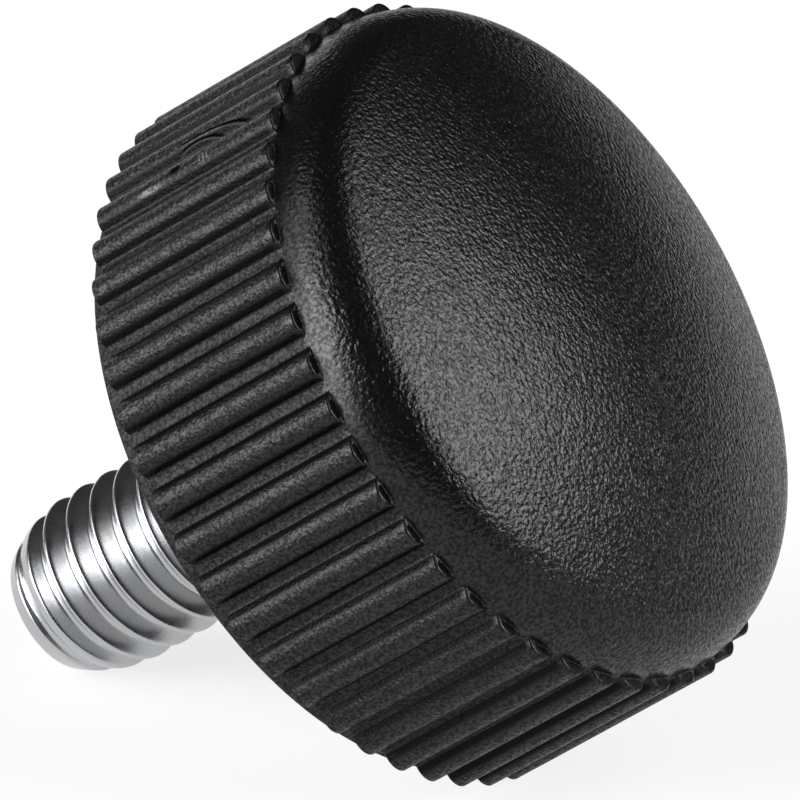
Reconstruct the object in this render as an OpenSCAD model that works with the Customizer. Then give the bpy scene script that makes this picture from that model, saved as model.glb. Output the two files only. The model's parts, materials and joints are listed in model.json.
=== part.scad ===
// Thumb screw: a moulded plastic grip head with a zinc-plated steel threaded stud.
// Millimetres. Drawn standing on its stud, then laid down as it comes to rest.

/* [Head] */
// Diameter over the crests of the grip ribs
head_d = 23.4; // [16:0.1:40]
// Height at which the straight side starts to round in
side_h = 7.8; // [5:0.1:14]
// Radius of the lower part of the shoulder
shoulder_r = 2.9; // [2.1:0.1:4.5]
// Radius of the upper part of the shoulder
edge_r = 1.9; // [1:0.1:2]
// Slope of the wall where the two shoulder radii meet, in degrees from flat
shoulder_turn = 60; // [40:1:75]
// Radius of the domed crown
crown_r = 30; // [20:0.1:80]
// Diameter of the plain foot ring below the ribs
foot_d = 21.7; // [14:0.1:39]
// Height of the foot ring
foot_h = 0.75; // [0.3:0.05:2]

/* [Grip ribs] */
// Number of ribs round the side
rib_count = 48; // [24:2:72]
// Radius of the rounded crest of a rib
rib_r = 0.56; // [0.4:0.01:1]
// How far a rib stands out from the side
rib_proud = 0.4; // [0.2:0.01:0.7]
// Height at which the ribs stop below the shoulder
rib_top = 8; // [5:0.05:14]
// Bevel on the upper end of a rib
rib_end_bevel = 0.2; // [0.05:0.01:0.35]

/* [Underside] */
// Thickness of the outer wall between the pockets and the side
wall_t = 2.1; // [1.5:0.05:3.5]
// Diameter of the hub round the stud
hub_d = 14; // [12.8:0.1:16]
// Depth of the pockets between hub and wall
pocket_h = 5.8; // [2:0.1:7]
// Number of webs that join the hub to the wall
web_count = 6; // [3:1:12]
// Thickness of a web
web_t = 1.4; // [0.8:0.05:2.4]
// How far the webs stand back from the underside
web_back = 0.7; // [0:0.05:2]
// Depth of the cone-shaped relief round the stud in the face of the hub
relief_h = 0.5; // [0.2:0.05:1]
// Clearance between the thread and the edge of the relief
relief_gap = 0.1; // [0.05:0.05:0.5]

/* [Stud] */
// Outside diameter of the thread
thread_d = 6; // [4.5:0.1:9]
// Length of stud that stands out of the head
stud_l = 11.6; // [8:0.1:40]
// Length over which the free end of the stud rounds in
tip_l = 2.7; // [1:0.1:4]
// Diameter of the flat on the free end
tip_d = 4.3; // [2:0.1:5.6]

/* [Moulded-in end of the stud] */
// Diameter of the plain neck inside the hub
neck_d = 5.2; // [4:0.1:8]
// Length of the neck, from the underside to the hexagon
neck_h = 2.4; // [1:0.1:4]
// Width across flats of the hexagon that stops the stud turning
hex_af = 10; // [7:0.1:12]
// Thickness of the hexagon
hex_h = 4; // [2:0.1:5]

/* [Hidden] */
turn_fn = 96;
rib_fn = 24;
eps = 0.01;
crest_r = head_d / 2;
side_r = crest_r - rib_proud;
rib_c = crest_r - rib_r;
rib_step = 360 / rib_count;
pocket_r = side_r - wall_t;
relief_r = thread_d / 2 + relief_gap;
// Centres of the two shoulder arcs and of the crown arc, as [radius, height]
low_c = [side_r - shoulder_r, side_h];
high_c = low_c + (shoulder_r - edge_r) * [sin(shoulder_turn), cos(shoulder_turn)];
crown_z = high_c[1] - sqrt(pow(crown_r - edge_r, 2) - pow(high_c[0], 2));
crown_turn = asin(high_c[0] / (crown_r - edge_r));
// Arc that rounds in the free end of the stud
tip_in = (thread_d - tip_d) / 2;
tip_r = (pow(tip_in, 2) + pow(tip_l, 2)) / (2 * tip_in);
tip_turn = asin(tip_l / tip_r);
// The head lies on the lower ends of two neighbouring ribs, and the stud on the arc of its
// free end or, where that arc is too shallow, on the edge of the flat
rest_r = rib_c * cos(rib_step / 2) + rib_r;
rest_in = rest_r - thread_d / 2 + tip_r;
rest_l = stud_l - tip_l + foot_h;
arc_lean = acos(tip_r / norm([rest_in, rest_l])) - atan2(rest_l, rest_in);
lean = arc_lean < tip_turn ? arc_lean : atan((rest_r - tip_d / 2) / (stud_l + foot_h));
lift = rest_r * cos(lean) - foot_h * sin(lean);
tip_reach = tip_d / 2 * sin(lean) + stud_l * cos(lean);
dome_reach = high_c[0] * sin(lean) + high_c[1] * cos(lean) + edge_r;
shift = (tip_reach - dome_reach) / 2;

// Points of an arc from slope a0 to slope a1, both in degrees from flat
function arc(c, r, a0, a1, steps) =
    [for (i = [0 : steps]) let (a = a0 + (a1 - a0) * i / steps) c + r * [sin(a), cos(a)]];

// Half outline of the head without its ribs
function head_outline() = concat(
    [[0, 0], [foot_d / 2, 0], [foot_d / 2, foot_h], [side_r, foot_h]],
    arc(low_c, shoulder_r, 90, shoulder_turn, 6),
    arc(high_c, edge_r, shoulder_turn - 5, crown_turn, 8),
    arc([0, crown_z], crown_r, crown_turn * 0.9, 0, 9)
);

// Half outline of the free end of the stud
function tip_outline() = concat(
    [[0, tip_l - stud_l], [thread_d / 2, tip_l - stud_l]],
    [for (i = [1 : 8]) let (a = tip_turn * i / 8)
        [thread_d / 2 - tip_r * (1 - cos(a)), tip_l - stud_l - tip_r * sin(a)]],
    [[0, -stud_l]]
);

// Straight rounded ribs, cut square at their lower ends and bevelled at their upper ends
module ribs() {
    intersection() {
        for (i = [0 : rib_count - 1])
            rotate([0, 0, (i + 0.5) * rib_step])
                translate([rib_c, 0, foot_h])
                    cylinder(r = rib_r, h = rib_top - foot_h, $fn = rib_fn);
        rotate_extrude($fn = turn_fn)
            polygon([
                [rib_c - 2 * rib_r, 0],
                [crest_r + eps, 0],
                [crest_r + eps, rib_top - rib_end_bevel - eps],
                [crest_r - rib_end_bevel, rib_top],
                [rib_c - 2 * rib_r, rib_top]
            ]);
    }
}

// Pockets that leave a hub, an outer wall and webs of even thickness
module pockets() {
    difference() {
        translate([0, 0, -eps]) cylinder(r = pocket_r, h = pocket_h + eps, $fn = turn_fn);
        translate([0, 0, -2 * eps]) cylinder(d = hub_d, h = pocket_h + 4 * eps, $fn = turn_fn);
        for (i = [0 : web_count - 1])
            rotate([0, 0, i * 360 / web_count])
                translate([hub_d / 2 - 0.5, -web_t / 2, web_back])
                    cube([pocket_r - hub_d / 2 + 1, web_t, pocket_h]);
    }
}

// Neck and hexagon held in the moulding. The head's seat is cut with the same shape
module anchor(below) {
    translate([0, 0, -below]) cylinder(d = neck_d, h = neck_h + below + eps, $fn = 48);
    translate([0, 0, neck_h])
        rotate([0, 0, 30]) cylinder(d = hex_af / cos(30), h = hex_h, $fn = 6);
}

module grip_head() {
    color([0.05, 0.05, 0.05])
        difference() {
            union() {
                rotate_extrude($fn = turn_fn) polygon(head_outline());
                ribs();
            }
            pockets();
            anchor(below = 1);
            translate([0, 0, -eps])
                cylinder(r1 = relief_r, r2 = neck_d / 2, h = relief_h + eps, $fn = 48);
        }
}

module threaded_stud() {
    color([0.78, 0.79, 0.8]) {
        anchor(below = eps);
        translate([0, 0, tip_l - stud_l]) cylinder(d = thread_d, h = stud_l - tip_l, $fn = 64);
        rotate_extrude($fn = 64) polygon(tip_outline());
    }
}

// Lays an upright part down on its lower side
module laid_down() {
    translate([shift, 0, lift]) rotate([0, 90 - lean, 0]) children();
}

laid_down() grip_head();
laid_down() threaded_stud();
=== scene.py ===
import json
import math

import bmesh
import bpy
from mathutils import Matrix, Vector


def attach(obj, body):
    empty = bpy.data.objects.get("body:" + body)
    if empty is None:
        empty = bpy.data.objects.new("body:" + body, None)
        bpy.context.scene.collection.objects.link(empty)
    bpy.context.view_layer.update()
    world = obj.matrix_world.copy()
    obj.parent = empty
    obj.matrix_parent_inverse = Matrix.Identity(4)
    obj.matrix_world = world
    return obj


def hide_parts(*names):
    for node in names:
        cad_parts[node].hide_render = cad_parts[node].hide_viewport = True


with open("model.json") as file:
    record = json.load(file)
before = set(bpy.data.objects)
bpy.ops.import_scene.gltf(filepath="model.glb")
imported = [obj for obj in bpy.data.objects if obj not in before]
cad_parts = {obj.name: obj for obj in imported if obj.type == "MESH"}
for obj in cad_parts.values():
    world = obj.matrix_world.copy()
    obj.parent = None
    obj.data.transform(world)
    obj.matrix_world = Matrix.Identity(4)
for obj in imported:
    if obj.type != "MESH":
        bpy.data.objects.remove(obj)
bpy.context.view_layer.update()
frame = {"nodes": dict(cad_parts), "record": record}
mm = 0.001
weld = 0.001 * mm  # points nearer than this are one
print("frame loaded:", ", ".join(sorted(frame["nodes"])))

# the screw lies tilted: its own upright axes are taken from the face it clamps with
mounts = {m["name"]: m for m in frame["record"]["mounts"]}
hubFace = Vector(mounts["clamp_face"]["pos_m"])
screwAxis = -Vector(mounts["clamp_face"]["axis"]).normalized()  # from the stud to the crown
sideways = Vector((0, 1, 0))
place = Matrix((sideways.cross(screwAxis), sideways, screwAxis)).transposed().to_4x4()
place.translation = hubFace


class Wire:  # a node's socket that can be written in a sum
    def __init__(self, graph, socket):
        self.graph = graph
        self.socket = socket

    def __add__(self, other):
        return self.graph.math("ADD", self, other)

    def __sub__(self, other):
        return self.graph.math("SUBTRACT", self, other)

    def __rsub__(self, other):
        return self.graph.math("SUBTRACT", other, self)

    def __mul__(self, other):
        return self.graph.math("MULTIPLY", self, other)

    def __truediv__(self, other):
        return self.graph.math("DIVIDE", self, other)

    def __rtruediv__(self, other):
        return self.graph.math("DIVIDE", other, self)

    def __mod__(self, other):
        return self.graph.math("FLOORED_MODULO", self, other)

    def __pow__(self, other):
        return self.graph.math("POWER", self, other)

    def __neg__(self):
        return self.graph.math("MULTIPLY", self, -1)

    def __abs__(self):
        return self.graph.math("ABSOLUTE", self)

    __radd__ = __add__
    __rmul__ = __mul__


class Graph:  # makes the nodes of one tree
    def __init__(self, tree):
        self.tree = tree

    def feed(self, value, socket):
        if isinstance(value, Wire):
            self.tree.links.new(value.socket, socket)
        else:
            socket.default_value = value

    def node(self, kind, settings=None, sockets=None, output=0):
        made = self.tree.nodes.new(kind)
        for name, value in (settings or {}).items():
            setattr(made, name, value)
        for key, value in (sockets or {}).items():
            self.feed(value, made.inputs[key])
        return Wire(self, made.outputs[output]) if len(made.outputs) else made

    def math(self, operation, *terms):
        return self.node("ShaderNodeMath", {"operation": operation}, dict(enumerate(terms)))

    def sin(self, angle):
        return self.math("SINE", angle)

    def cos(self, angle):
        return self.math("COSINE", angle)

    def least(self, a, b, soft=0):
        return self.math("SMOOTH_MIN", a, b, soft) if soft else self.math("MINIMUM", a, b)

    def most(self, a, b, soft=0):
        return self.math("SMOOTH_MAX", a, b, soft) if soft else self.math("MAXIMUM", a, b)

    def noise(self, where, size, detail, distortion=0.0):
        return self.node("ShaderNodeTexNoise", None, {"Vector": where, "Scale": 1 / size, "Detail": detail,
                                                      "Roughness": 0.5, "Distortion": distortion})

    def share(self, value, low, high, curve="LINEAR"):  # 0 at low, 1 at high
        return self.node("ShaderNodeMapRange", {"interpolation_type": curve},
                         {"Value": value, "From Min": low, "From Max": high})

    def ease(self, value, low, high):
        return self.share(value, low, high, "SMOOTHSTEP")

    def split(self, vector):
        parts = self.node("ShaderNodeSeparateXYZ", None, {0: vector})
        return [Wire(self, socket) for socket in parts.socket.node.outputs]

    def vector(self, x, y, z):
        return self.node("ShaderNodeCombineXYZ", None, {0: x, 1: y, 2: z})


socketKinds = {float: "NodeSocketFloat", int: "NodeSocketInt", bpy.types.Object: "NodeSocketObject",
               bpy.types.Material: "NodeSocketMaterial"}


def geometryTree(name, sizes):
    tree = bpy.data.node_groups.new(name, "GeometryNodeTree")
    tree.interface.new_socket("Geometry", in_out="OUTPUT", socket_type="NodeSocketGeometry")
    keys = {}
    for label, value in sizes.items():
        socket = tree.interface.new_socket(label, in_out="INPUT", socket_type=socketKinds[type(value)])
        keys[label] = socket.identifier
    graph = Graph(tree)
    given = graph.node("NodeGroupInput").socket.node.outputs
    return graph, {label: Wire(graph, given[label]) for label in sizes}, keys


def endTree(graph, geometry, material):  # joins the seams and poles, and gives the material
    merged = graph.node("GeometryNodeMergeByDistance", None, {"Geometry": geometry, "Distance": weld})
    smooth = graph.node("GeometryNodeSetShadeSmooth", None, {"Geometry": merged})
    real = graph.node("GeometryNodeRealizeInstances", None, {"Geometry": smooth})
    done = graph.node("GeometryNodeSetMaterial", None, {"Geometry": real, "Material": material})
    graph.node("NodeGroupOutput", None, {0: done})


# one point for each row: how far the ribs are sunk, plain radius, height and what the row belongs to
def guide(name, rows):
    mesh = bpy.data.meshes.new(name)
    mesh.from_pydata([row[:3] for row in rows], [], [])
    kinds = mesh.attributes.new("rowKind", "FLOAT_VECTOR", "POINT")
    kinds.data.foreach_set("vector", [part for row in rows for part in row[3]])
    holder = bpy.data.objects.new(name, mesh)
    bpy.context.scene.collection.objects.link(holder)
    return holder


def build(name, graph, keys, sizes):  # runs the tree, then keeps its result as a plain mesh
    holder = bpy.data.objects.new(name, bpy.data.meshes.new(name + "Empty"))
    bpy.context.scene.collection.objects.link(holder)
    modifier = holder.modifiers.new("build", "NODES")
    modifier.node_group = graph.tree
    for label, value in sizes.items():
        modifier[keys[label]] = value
    layers = bpy.context.evaluated_depsgraph_get()
    mesh = bpy.data.meshes.new_from_object(holder.evaluated_get(layers), depsgraph=layers)
    holder.modifiers.remove(modifier)
    mesh.transform(place)
    shell = bmesh.new()
    shell.from_mesh(mesh)
    bmesh.ops.dissolve_degenerate(shell, dist=weld / 10, edges=shell.edges)
    bmesh.ops.recalc_face_normals(shell, faces=shell.faces)
    openEdges = sum(not edge.is_manifold for edge in shell.edges)
    volume = shell.calc_volume(signed=True)
    shell.to_mesh(mesh)
    shell.free()
    mesh.name = name
    holder.data = mesh
    print(f"{name}: {len(mesh.polygons)} faces, {openEdges} open edges, {volume * 1e9:.1f} mm3")
    return holder


def rowsAndColumns(graph, columns, rows):
    grid = graph.node("GeometryNodeMeshGrid", None, {"Vertices X": columns + 1, "Vertices Y": rows})
    index = graph.node("GeometryNodeInputIndex")
    column = graph.math("FLOOR", (index + 0.5) / rows)
    return grid, column, index - column * rows


def rowOf(graph, outline, row):  # the guide's point for a row, and what it belongs to
    source = graph.node("GeometryNodeObjectInfo", None, {"Object": outline}, "Geometry")
    sizes = graph.node("GeometryNodeInputPosition")
    kind = graph.node("GeometryNodeInputNamedAttribute", {"data_type": "FLOAT_VECTOR"}, {"Name": "rowKind"})
    found = []
    for field in (sizes, kind):
        found += graph.split(graph.node("GeometryNodeSampleIndex", {"data_type": "FLOAT_VECTOR"},
                                        {"Geometry": source, "Value": field, "Index": row}))
    return found


head = {
    "crest": 11.7 * mm,      # radius over the ribs
    "side": 11.3 * mm,       # radius between them
    "sideTop": 7.8 * mm,
    "lowArc": 2.9 * mm,      # lower part of the shoulder
    "highArc": 1.9 * mm,     # upper part
    "turn": 60,              # slope where the two meet, in degrees
    "crown": 30.0 * mm,
    "crownSteps": 14,
    "highArcSteps": 12,
    "lowArcSteps": 8,
    "ribTop": 8.0 * mm,
    "ribTopGap": 0.03 * mm,  # from there to the first row of the shoulder
    "ribTopInsets": (0.37 * mm, 0.3 * mm),
    "ribTopEdge": 0.08 * mm,
    "ribRows": (7.7, 7.4, 6.6, 5.2, 3.8, 2.4, 1.2, 0.9),  # heights in mm
    "ribFootEdge": 0.05 * mm,
    "foot": 10.85 * mm,      # plain ring below the ribs
    "footTop": 0.75 * mm,
    "footEdge": 0.2 * mm,
    "footFillet": ((0.1, 0), (0.03, -0.03), (0, -0.1), (0, -0.3)),  # out from the ring and up, in mm
    "pocketOut": 9.2 * mm,
    "pocketIn": 7.0 * mm,
    "pocketTop": 5.8 * mm,
    "pocketEdge": 0.1 * mm,
    "pocketRows": (0.4, 0.55, 0.65, 0.75, 0.95, 1.5, 2.6, 4.0, 5.1, 5.6),  # heights in mm
    "pocketFillet": 0.2 * mm,
    "pocketFilletIn": 0.06 * mm,
    "draft": 0.12 * mm,
    "reliefRows": ((5.2, 0), (3.2, 0), (3.13, 0.01), (3.09, 0.04)),  # radius and height in mm
    "reliefTop": 0.5 * mm,
    "neck": 2.6 * mm,
    "neckTop": 2.4 * mm,
    "hexTop": 6.4 * mm,
    "hexAcross": 10.0 * mm,
}
# columns from the middle of a rib to the middle of the next groove, and where each part of the curve ends
ribColumns = {"all": 8, "crest": 5, "foot": 7}
# columns from the middle of a web to the middle of a pocket
webColumns = {"all": 64, "top": 10, "side": 24}
headTreeSizes = {
    "Outline": None,
    "Columns per rib": 2 * ribColumns["all"],
    "Ribs": 48,
    "Side radius": head["side"],
    "Rib radius": 0.56 * mm,
    "Rib height": head["crest"] - head["side"],
    "Rib foot": 0.1 * mm,
    "Webs": 6,
    "Web thickness": 1.4 * mm,
    "Web setback": 0.7 * mm,
    "Web draft": head["draft"],
    "Web fillet": 0.25 * mm,
    "Web edge": 0.04 * mm,
    "Pocket depth": head["pocketTop"],
    "Material": None,
}
buried = 20.0 * mm  # how far the ribs are sunk where the surface is plain


def arc(centre, radius, fromAngle, toAngle, steps):  # angles from straight up, in degrees
    for step in range(steps + 1):
        angle = math.radians(fromAngle + (toAngle - fromAngle) * step / steps)
        yield centre[0] + radius * math.sin(angle), centre[1] + radius * math.cos(angle)


def plainRadius(z):  # of the side and of the shoulder's lowest part
    above = max(z - head["sideTop"], 0)
    return head["side"] - head["lowArc"] + math.sqrt(head["lowArc"] ** 2 - above ** 2)


# rows of the head: how far the ribs are sunk, plain radius and height
def crownRows():  # from the middle of the crown to the upper ends of the ribs
    turn = math.radians(head["turn"])
    lowCentre = (head["side"] - head["lowArc"], head["sideTop"])
    reach = head["lowArc"] - head["highArc"]
    highCentre = (lowCentre[0] + reach * math.sin(turn), lowCentre[1] + reach * math.cos(turn))
    crownZ = highCentre[1] - math.sqrt((head["crown"] - head["highArc"]) ** 2 - highCentre[0] ** 2)
    crownTurn = math.degrees(math.asin(highCentre[0] / (head["crown"] - head["highArc"])))
    end = math.degrees(math.acos((head["ribTop"] + head["ribTopGap"] - lowCentre[1]) / head["lowArc"]))
    smooth = [(0, crownZ + head["crown"])]
    smooth += list(arc((0, crownZ), head["crown"], 1, crownTurn, head["crownSteps"]))
    smooth += list(arc(highCentre, head["highArc"], crownTurn, head["turn"], head["highArcSteps"]))[1:]
    smooth += list(arc(lowCentre, head["lowArc"], head["turn"], end, head["lowArcSteps"]))[1:]
    rows = [(buried, r, z) for r, z in smooth]
    edge, top = head["ribTopEdge"], head["ribTop"]
    rows += [(inset, plainRadius(top), top) for inset in (buried, *head["ribTopInsets"])]
    for inset, z in arc((edge, -edge), edge, 0, -90, 5):
        rows.append((inset, plainRadius(top + z), top + z))
    return rows


def sideRows():  # down the ribs, round their lower ends and down the foot ring
    crestEdge, footEdge = head["ribFootEdge"], head["footEdge"]
    rows = [(0, head["side"], z * mm) for z in head["ribRows"]]
    for back, z in arc((0, 0), crestEdge, 90, 180, 3):
        inset = crestEdge - back
        rows.append((inset, head["side"] - inset, head["footTop"] + crestEdge + z))
    for out, z in head["footFillet"]:
        rows.append((buried, head["foot"] + out * mm, head["footTop"] + z * mm))
    for r, z in arc((head["foot"] - footEdge, footEdge), footEdge, 90, 180, 5):
        rows.append((buried, r, z))
    return rows


def undersideRows():  # the flat ring, the pockets between the webs, the hub and the seat of the stud
    skin, pocket, seat = (1, 0, 0), (1, 1, 0), (1, 0, 1)
    outer, hub, top, edge = head["pocketOut"], head["pocketIn"], head["pocketTop"], head["pocketEdge"]
    flat = head["foot"] - head["footEdge"]
    rows = [(flat + (outer + edge - flat) * share, 0, (share, 0, 0)) for share in (0.33, 0.67)]
    wall = []
    for turn in (90, 60, 30, 0):
        angle = math.radians(turn)
        wall.append((edge - edge * math.cos(angle), edge - edge * math.sin(angle)))
    wall += [(-head["draft"] * z * mm / top, z * mm) for z in head["pocketRows"]]
    draft, fillet, near = head["draft"], head["pocketFillet"], head["pocketFilletIn"]
    wall += [(-draft - near, top - near), (-draft - fillet, top)]
    rows += [(outer + out, z, pocket if z else skin) for out, z in wall]
    rows.append(((outer + hub) / 2, top, pocket))
    rows += [(hub - out, z, pocket if z else skin) for out, z in reversed(wall)]
    rows += [(r * mm, z * mm, skin) for r, z in head["reliefRows"]]
    rows += [(head["neck"], head["reliefTop"], skin), (head["neck"], head["neckTop"], skin)]
    across = head["hexAcross"] / 2
    rows += [(across, head["neckTop"], seat), (across, head["hexTop"], seat),
             (across / 2, head["hexTop"], seat), (0, head["hexTop"], seat)]
    return [(buried, r, z, kind) for r, z, kind in rows]


def headRows():  # every row, with what it belongs to
    return [row + ((0, 0, 0),) for row in crownRows() + sideRows()] + undersideRows()


def headTree(sizes, rowCount):
    graph, size, keys = geometryTree("ribbedHead", sizes)
    perRib = size["Columns per rib"]
    columns = size["Ribs"] * perRib
    grid, column, row = rowsAndColumns(graph, columns, rowCount)
    inset, plain, height, under, isPocket, isSeat = rowOf(graph, size["Outline"], row)

    # across one rib: a round crest, a small round foot and a narrow strip of side
    tip, foot = size["Rib radius"], size["Rib foot"]
    sunk = tip - size["Rib height"]
    footOut = ((tip + foot) ** 2 - (sunk + foot) ** 2) ** 0.5
    most = graph.math("ARCTAN2", footOut, sunk + foot)
    fromMiddle = column % perRib - perRib / 2
    away = abs(fromMiddle) * (2 * ribColumns["all"]) / perRib
    crestTurn = graph.share(away, 0, ribColumns["crest"]) * most
    footTurn = most - graph.share(away, ribColumns["crest"], ribColumns["foot"]) * most
    rise = tip * graph.cos(crestTurn) - sunk + foot * (graph.cos(most) - graph.cos(footTurn))
    halfPitch = math.pi * size["Side radius"] / size["Ribs"]
    across = tip * graph.sin(crestTurn) + foot * (graph.sin(most) - graph.sin(footTurn))
    across = across + graph.share(away, ribColumns["foot"], ribColumns["all"]) * (halfPitch - footOut)
    ribAngle = (graph.math("FLOOR", (column + 0.5) / perRib) + 0.5) * (2 * math.pi / size["Ribs"])
    outerAngle = ribAngle + graph.math("SIGN", fromMiddle) * across / size["Side radius"]
    radius = graph.most(plain, size["Side radius"] + rise - inset)

    # under the head the columns gather at the sides of the webs
    perWeb = columns / size["Webs"]
    halfWeb = perWeb / 2
    inWeb = (column + halfWeb) % perWeb - halfWeb
    webAngle = graph.math("FLOOR", (column + halfWeb) / perWeb) * (2 * math.pi / size["Webs"])
    step = abs(inWeb)
    halfWidth = size["Web thickness"] / 2
    wallOut = graph.share(step, 0, webColumns["top"]) * halfWidth
    wallOut = wallOut + graph.share(step, webColumns["top"], webColumns["side"]) * size["Web draft"]
    # near the middle, where a web would be wider than the circle, the angle stays below its limit
    wallAngle = graph.math("ARCSINE", wallOut / graph.most(plain, size["Web thickness"] * 1.5))
    rest = graph.share(step, webColumns["side"], webColumns["all"]) ** 1.4  # closer together at the web
    turned = wallAngle + rest * (math.pi / size["Webs"] - wallAngle)
    innerAngle = webAngle + graph.math("SIGN", inWeb) * turned
    clear = plain * graph.sin(turned) - halfWidth
    steepness = (size["Pocket depth"] - size["Web setback"]) / size["Web draft"]
    webHeight = graph.most(clear, 0, size["Web edge"]) * steepness + size["Web setback"]
    pocketHeight = graph.least(height, webHeight, size["Web fillet"])

    # a hexagonal seat for the end of the stud
    sixth = math.pi / 3
    flatAngle = (innerAngle + sixth / 2) % sixth - sixth / 2
    radius = radius * (1 + isSeat * (1 / graph.cos(flatAngle) - 1))
    angle = outerAngle + under * (innerAngle - outerAngle)
    level = height + isPocket * (pocketHeight - height)
    spot = graph.vector(radius * graph.cos(angle), radius * graph.sin(angle), level)
    moved = graph.node("GeometryNodeSetPosition", None, {"Geometry": grid, "Position": spot})
    endTree(graph, moved, size["Material"])
    return graph, keys


stud = {
    "tip": -11.6 * mm,
    "tipRadius": 2.15 * mm,
    "tipLength": 2.7 * mm,
    "neck": 2.6 * mm,
    "neckTop": 2.4 * mm,
    "hexAcross": 10.0 * mm,
    "hexTop": 6.4 * mm,
    "rowsPerTurn": 24,
}
studTreeSizes = {
    "Outline": None,
    "Columns": 144,
    "Outside radius": 2.93 * mm,
    "Pitch": 1.0 * mm,
    "Thread depth": 0.6 * mm,
    "Crest width": 0.07 * mm,
    "Crest rounding": 0.06 * mm,
    "Root rounding": 0.2 * mm,
    "Flank angle": 30.0,  # from square to the axis, in degrees
    "Tip": stud["tip"],
    "Tip radius": stud["tipRadius"],
    "Tip length": stud["tipLength"],
    "Tip rounding": 0.1 * mm,
    "Start": stud["tip"] + 0.03 * mm,
    "End": -0.15 * mm,
    "Run-out": 0.7 * mm,
    "Neck radius": stud["neck"],
    "Material": None,
}


def studRows():
    sizes = studTreeSizes
    plain, thread, hexed = (0, 0, 0), (1, 0, 0), (0, 0, 1)
    rows = [(0, 0, stud["tip"], plain)]
    for share in (0.5, 0.9, 0.97):
        rows.append((share * stud["tipRadius"], 0, stud["tip"], plain))
    turns = (sizes["End"] - sizes["Start"]) / sizes["Pitch"] + 1
    count = math.ceil(turns * stud["rowsPerTurn"])
    for step in range(count + 1):
        height = sizes["Start"] + sizes["Pitch"] * (step / stud["rowsPerTurn"] - 1)
        rows.append((stud["neck"], 0, height, thread))
    rows.append((stud["neck"], 0, stud["neckTop"], plain))
    for r, z in ((0.5, stud["neckTop"]), (0.5, stud["hexTop"]), (0.25, stud["hexTop"]), (0, stud["hexTop"])):
        rows.append((r * stud["hexAcross"], 0, z, hexed))
    return rows


def studTree(sizes, rowCount):
    graph, size, keys = geometryTree("screwThread", sizes)
    grid, column, row = rowsAndColumns(graph, size["Columns"], rowCount)
    plainRadius, _, height, isThread, _, isHex = rowOf(graph, size["Outline"], row)
    turn = column / size["Columns"]
    climbed = graph.most(graph.least(height + size["Pitch"] * turn, size["End"]), size["Start"])
    level = height + isThread * (climbed - height)
    # how far along the axis from the nearest crest, and how deep the flank is there
    fromCrest = abs(((level - size["Start"]) / size["Pitch"] - turn + 1) % 1 - 0.5) * size["Pitch"]
    flank = (fromCrest - size["Crest width"] / 2) / graph.math("TANGENT", size["Flank angle"] * math.radians(1))
    cut = graph.most(flank, 0, size["Crest rounding"])
    cut = graph.least(cut, size["Thread depth"], size["Root rounding"])
    threadRadius = size["Outside radius"] - cut
    fade = graph.ease(level, size["End"] - size["Run-out"], size["End"])
    threadRadius = threadRadius + fade * (size["Neck radius"] - threadRadius)
    # the free end rounds in on an arc
    narrowed = size["Outside radius"] - size["Tip radius"]
    tipArc = (narrowed ** 2 + size["Tip length"] ** 2) / (narrowed * 2)
    along = graph.most(size["Tip"] + size["Tip length"] - level, 0)
    rounded = size["Outside radius"] - tipArc + (tipArc ** 2 - along ** 2) ** 0.5
    threadRadius = graph.least(threadRadius, rounded, size["Tip rounding"])
    radius = plainRadius + isThread * (threadRadius - plainRadius)
    sixth = math.pi / 3
    angle = turn * (2 * math.pi)
    flatAngle = (angle + sixth / 2) % sixth - sixth / 2
    radius = radius * (1 + isHex * (1 / graph.cos(flatAngle) - 1))
    spot = graph.vector(radius * graph.cos(angle), radius * graph.sin(angle), level)
    moved = graph.node("GeometryNodeSetPosition", None, {"Geometry": grid, "Position": spot})
    endTree(graph, moved, size["Material"])
    return graph, keys


def shaderGraph(name):
    material = bpy.data.materials.new(name)
    material.use_nodes = True
    material.node_tree.nodes.clear()
    return material, Graph(material.node_tree)


def onScrew(graph):  # a place on the screw, in its own upright axes
    here = graph.node("ShaderNodeTexCoord", output="Object")
    return graph.node("ShaderNodeMapping", {"vector_type": "TEXTURE"},
                      {"Vector": here, "Location": place.translation, "Rotation": place.to_euler()})


polyamide = {
    "colour": (0.002, 0.002, 0.0022, 1),
    "worn": (0.16, 0.16, 0.16, 1),
    "specular": 0.38,
    # the dull shader, with no reflection, is also how shade is painted on the rib flanks, in the pit and along
    # the dark scratch lines
    "dull": 0.0,             # specular of the matt specks
    "grainSize": 0.15 * mm,
    "grainDepth": 0.042 * mm,
    "grainFrom": 7.9 * mm,   # height on the shoulder where the crown's grain begins
    "grainFull": 9.6 * mm,
    "sideGrain": 0.1 * mm,
    "sideDepth": 0.8,        # as a share of the crown's grain
    "sideEnd": (7.7 * mm, 8.1 * mm),          # heights over which the side becomes the shoulder
    "grooveEnd": (11.31 * mm, 11.4 * mm),     # radii over which a groove becomes a rib
    # between these radii the rib flanks lose most of their reflection: painted shade, so that they read as dark
    # bands beside the ribs
    "flankStart": (11.3 * mm, 11.36 * mm),
    "flankEnd": (11.48 * mm, 11.64 * mm),
    "flankPaintedShade": 0.8,
    "smooth": 0.26,
    "ribs": 0.14,            # rougher than the crown
    "groove": 0.14,          # rougher again between them
    "roughSpread": 0.1,
    "patchSize": 0.6 * mm,
    "speckle": 0.6,          # how far the finest specks go from glossy to dull
    "speckleSize": 0.11 * mm,
}
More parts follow.
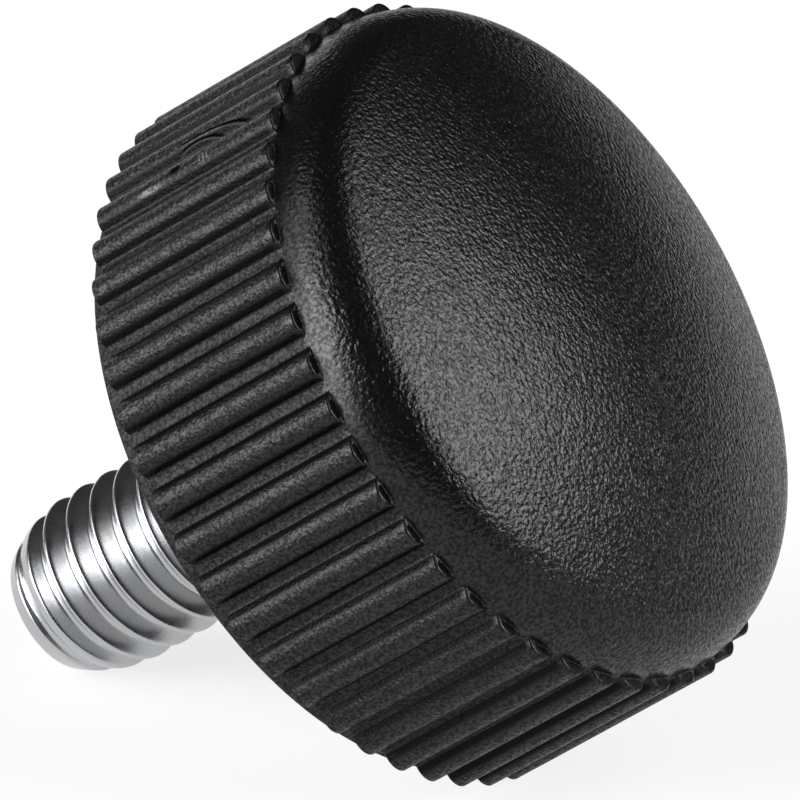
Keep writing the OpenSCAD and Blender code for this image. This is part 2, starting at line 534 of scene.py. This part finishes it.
scuff = {  # lengths in mm, across the ribs and up them from the middle of the knock
    "angle": 26,             # of its middle, from the side of the head that faces away from x, in degrees
    "height": 3.9,
    "pit": {"spot": (0.13, 0.15), "stretch": 2.0, "edge": (0.07, 0.17)},
    "pitDepth": 0.8,
    "smear": {"spot": (0.35, -0.95), "stretch": 6.0, "edge": (0.02, 0.13)},
    "smearGrain": 0.12,
    "strokes": {"spot": (0.23, 1.3), "stretch": 1.6, "edge": (0.05, 0.2)},
    "strokeGap": 0.025,
    "bends": ((1.19, 3.4, 0.5), (1.07, 1.9, 0.6)),  # half width, half length and middle of each bent scratch
    "bendSide": (-0.95, -0.85),
    "bendFoot": (-0.2, 0.1),
    "darkLine": (1.0, 0.01, 0.03),
    "paleLine": (0.96, 0.0, 0.025),
    "lineDepth": 0.5,
    "linePale": 0.4,
    "pale": 0.5,
}


def mark(graph, across, along, shape):  # one at a spot on the side, none beyond its edge
    middle = shape["spot"]
    out = ((across - middle[0]) ** 2 + ((along - middle[1]) / shape["stretch"]) ** 2) ** 0.5
    return 1 - graph.ease(out, *shape["edge"])


# the pit and the dark scratch lines are dents made by bump, and their blackness is painted shade: the dull
# shader leaves out their reflection
def scuffMarks(graph, x, y, height):  # a knock on the ribs: a dark pit, bent scratches and pale smears
    turn = graph.math("ARCTAN2", -y, -x) - math.radians(scuff["angle"])
    across = turn * (head["crest"] / mm)
    along = height / mm - scuff["height"]
    kept = (1 - graph.ease(across, *scuff["bendSide"])) * graph.ease(along, *scuff["bendFoot"])
    dark, pale = 0, 0
    for width, length, middle in scuff["bends"]:
        reach = ((across / width) ** 2 + ((along - middle) / length) ** 2) ** 0.5
        at, near, far = scuff["darkLine"]
        dark = graph.most(dark, 1 - graph.ease(abs(reach - at), near, far))
        at, near, far = scuff["paleLine"]
        pale = graph.most(pale, 1 - graph.ease(abs(reach - at), near, far))
    strokes = mark(graph, across, along, scuff["strokes"])
    strokes = strokes * graph.ease(graph.sin(along / scuff["strokeGap"]), 0.0, 0.6)
    pale = graph.most(pale * kept * scuff["linePale"], strokes) * scuff["pale"]
    # the pit is a dent, and its blackness is painted shade
    pit = mark(graph, across, along, scuff["pit"])
    return pit, dark * kept, pale, mark(graph, across, along, scuff["smear"])


def blackPolyamide():
    material, graph = shaderGraph("blackPolyamide")
    spot = onScrew(graph)
    x, y, height = graph.split(spot)
    radius = (x * x + y * y) ** 0.5
    onSide = 1 - graph.ease(height, *polyamide["sideEnd"])
    inGroove = onSide * (1 - graph.ease(radius, *polyamide["grooveEnd"]))
    # painted shade: on the rib flanks most of the reflection is left out, so that they read dark as if in shade
    flank = onSide * graph.ease(radius, *polyamide["flankStart"])
    flank = flank * (1 - graph.ease(radius, *polyamide["flankEnd"]))
    grain = graph.noise(spot, polyamide["grainSize"], 1.0)
    fine = graph.noise(spot, polyamide["sideGrain"], 1.0)
    pit, scratchAndPaintedShade, pale, smear = scuffMarks(graph, x, y, height)
    relief = grain * graph.ease(height, polyamide["grainFrom"], polyamide["grainFull"])
    relief = relief + fine * onSide * polyamide["sideDepth"]
    relief = relief - pit * scuff["pitDepth"] - scratchAndPaintedShade * scuff["lineDepth"]
    bump = graph.node("ShaderNodeBump", None, {"Distance": polyamide["grainDepth"], "Height": relief})
    patches = graph.noise(spot, polyamide["patchSize"], 3.0)
    speckle = graph.noise(spot, polyamide["speckleSize"], 1.0)
    roughness = polyamide["smooth"] + onSide * polyamide["ribs"] + inGroove * polyamide["groove"]
    roughness = roughness + (patches - 0.5) * polyamide["roughSpread"]
    specks = (1 - graph.share(speckle, 0.38, 0.62)) * polyamide["speckle"]
    # share of the dull shader: painted shade on the rib flanks, in the pit and along the dark scratch lines,
    # plus random matt specks
    dull = graph.most(graph.most(pit, scratchAndPaintedShade), graph.most(flank * polyamide["flankPaintedShade"], specks))
    broken = graph.share(graph.noise(spot, scuff["smearGrain"] * mm, 1.0), 0.3, 0.6)
    worn = graph.most(pale, smear * broken)
    colour = graph.node("ShaderNodeMix", {"data_type": "RGBA"},
                        {0: worn, 6: polyamide["colour"], 7: polyamide["worn"]}, 2)
    glossyAndDull = []
    for specular in (polyamide["specular"], polyamide["dull"]):
        glossyAndDull.append(graph.node("ShaderNodeBsdfPrincipled", None,
                                        {"Base Color": colour, "Roughness": roughness,
                                         "Specular IOR Level": specular, "Normal": bump}))
    mixed = graph.node("ShaderNodeMixShader", None, {0: dull, 1: glossyAndDull[0], 2: glossyAndDull[1]})
    graph.node("ShaderNodeOutputMaterial", None, {"Surface": mixed})
    return material


zinc = {
    "colour": (0.475, 0.485, 0.5, 1),
    "tint": (0.54, 0.485, 0.45, 1),  # where the passivation is thin
    "roughness": 0.28,
    "roughSpread": 0.12,
    "patchSize": 0.5 * mm,
    "tintSize": 1.1 * mm,
    "tinted": 0.5,
    "waviness": 0.002 * mm,
    "waveSize": 0.15 * mm,
}


def zincPlate():
    material, graph = shaderGraph("zincPlate")
    spot = onScrew(graph)
    patches = graph.noise(spot, zinc["patchSize"], 2.0)
    tinted = graph.ease(graph.noise(spot, zinc["tintSize"], 2.0, distortion=0.5), 0.5, 0.75) * zinc["tinted"]
    colour = graph.node("ShaderNodeMix", {"data_type": "RGBA"},
                        {0: tinted, 6: zinc["colour"], 7: zinc["tint"]}, 2)
    waves = graph.noise(spot, zinc["waveSize"], 1.0)
    bump = graph.node("ShaderNodeBump", None, {"Distance": zinc["waviness"], "Height": waves})
    roughness = zinc["roughness"] + (patches - 0.5) * zinc["roughSpread"]
    surface = graph.node("ShaderNodeBsdfPrincipled", None,
                         {"Base Color": colour, "Roughness": roughness, "Metallic": 1.0, "Normal": bump})
    graph.node("ShaderNodeOutputMaterial", None, {"Surface": surface})
    return material


def makePiece(name, node, rows, tree, sizes, material):
    outline = guide(name + "Outline", rows)
    sizes = dict(sizes, Outline=outline, Material=material)
    graph, keys = tree(sizes, len(rows))
    piece = build(name, graph, keys, sizes)
    bpy.data.objects.remove(outline)
    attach(piece, "root")
    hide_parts(node)
    return piece


makePiece("gripHead", "grip_head", headRows(), headTree, headTreeSizes, blackPolyamide())
makePiece("threadedStud", "threaded_stud", studRows(), studTree, studTreeSizes, zincPlate())

studio = {
    "floorSize": 6.0,
    "floorColour": (0.8, 0.8, 0.8, 1),
    "floorGlow": 0.78,       # only where the floor is seen or reflected
    "floorDim": (0.22, 0.22, 0.22, 1),  # there too, so that it keeps the shadow
    "world": 0.05,
    "camera": {"azimuth": 23.16, "elevation": 22.68, "roll": 1.92, "distance": 468 * mm, "lens": 677.7,
               "aim": 0.35 * mm, "right": -1.928 * mm, "up": -1.502 * mm},
    "lampAim": (0, 0, 9 * mm),
    "lampDistance": 0.6,
    "lamps": {
        "softboxFront": {"azimuth": -135, "elevation": 8, "size": (0.693, 0.233), "power": 3.9},
        "softboxLeft": {"azimuth": -120, "elevation": 30, "size": (0.288, 0.28), "power": 2.7},
        "softboxTop": {"azimuth": -146, "elevation": 45, "size": (0.288, 0.39), "power": 0.95},
        "softboxRight": {"azimuth": 0, "elevation": 26, "size": (0.288, 0.26), "power": 1.72},
        "softboxBack": {"azimuth": 30, "elevation": 29, "size": (0.27, 0.255), "power": 1.62},
        "softboxHigh": {"azimuth": 36, "elevation": 50, "size": (0.255, 0.233), "power": 0.63},
        "softboxLow": {"azimuth": 143, "elevation": 8, "size": (0.4, 0.233), "power": 0.45},
    },
}


def floorMaterial():
    material, graph = shaderGraph("paleFloor")
    path = graph.node("ShaderNodeLightPath", output="Is Camera Ray")
    seen = graph.least(path + Wire(graph, path.socket.node.outputs["Is Glossy Ray"])
                       + Wire(graph, path.socket.node.outputs["Is Transmission Ray"]), 1)
    matt = graph.node("ShaderNodeBsdfDiffuse", None, {"Color": studio["floorColour"]})
    dim = graph.node("ShaderNodeBsdfDiffuse", None, {"Color": studio["floorDim"]})
    glow = graph.node("ShaderNodeEmission", None, {"Color": (1, 1, 1, 1), "Strength": studio["floorGlow"]})
    pale = graph.node("ShaderNodeAddShader", None, {0: dim, 1: glow})
    graph.node("ShaderNodeOutputMaterial", None,
               {"Surface": graph.node("ShaderNodeMixShader", None, {0: seen, 1: matt, 2: pale})})
    return material


def makeStudio():
    half = studio["floorSize"] / 2
    mesh = bpy.data.meshes.new("floor")
    corners = [(-half, -half, 0), (half, -half, 0), (half, half, 0), (-half, half, 0)]
    mesh.from_pydata(corners, [], [(0, 1, 2, 3)])
    mesh.materials.append(floorMaterial())
    floor = bpy.data.objects.new("floor", mesh)
    bpy.context.scene.collection.objects.link(floor)
    world = bpy.data.worlds.new("room")
    world.use_nodes = True
    world.node_tree.nodes["Background"].inputs["Color"].default_value = (1, 1, 1, 1)
    world.node_tree.nodes["Background"].inputs["Strength"].default_value = studio["world"]
    bpy.context.scene.world = world
    for name, lamp in studio["lamps"].items():
        data = bpy.data.lights.new(name, "AREA")
        data.shape = "RECTANGLE"
        data.size, data.size_y = lamp["size"]
        data.energy = lamp["power"]
        light = bpy.data.objects.new(name, data)
        bpy.context.scene.collection.objects.link(light)
        azimuth, elevation = math.radians(lamp["azimuth"]), math.radians(lamp["elevation"])
        away = Vector((math.cos(azimuth) * math.cos(elevation), math.sin(azimuth) * math.cos(elevation),
                       math.sin(elevation)))
        light.location = Vector(studio["lampAim"]) + away * studio["lampDistance"]
        light.rotation_euler = away.to_track_quat("Z", "Y").to_euler()


def makeCamera():
    view = studio["camera"]
    azimuth, elevation = math.radians(view["azimuth"]), math.radians(view["elevation"])
    right = Vector((math.cos(azimuth), math.sin(azimuth), 0))
    back = Vector((math.sin(azimuth) * math.cos(elevation), -math.cos(azimuth) * math.cos(elevation),
                   math.sin(elevation)))
    turn = Matrix((right, back.cross(right), back)).transposed()
    turn = turn @ Matrix.Rotation(math.radians(view["roll"]), 3, "Z")
    data = bpy.data.cameras.new("camera")
    data.lens = view["lens"]
    camera = bpy.data.objects.new("camera", data)
    bpy.context.scene.collection.objects.link(camera)
    target = hubFace + screwAxis * view["aim"]
    camera.location = target - turn @ Vector((view["right"], view["up"], -view["distance"]))
    camera.rotation_euler = turn.to_euler()
    bpy.context.scene.camera = camera


makeStudio()
print("studio:", len(studio["lamps"]), "lamps")
makeCamera()
print("camera:", studio["camera"]["distance"], "m away")
bpy.context.scene.view_settings.view_transform = "Standard"
print("finished")
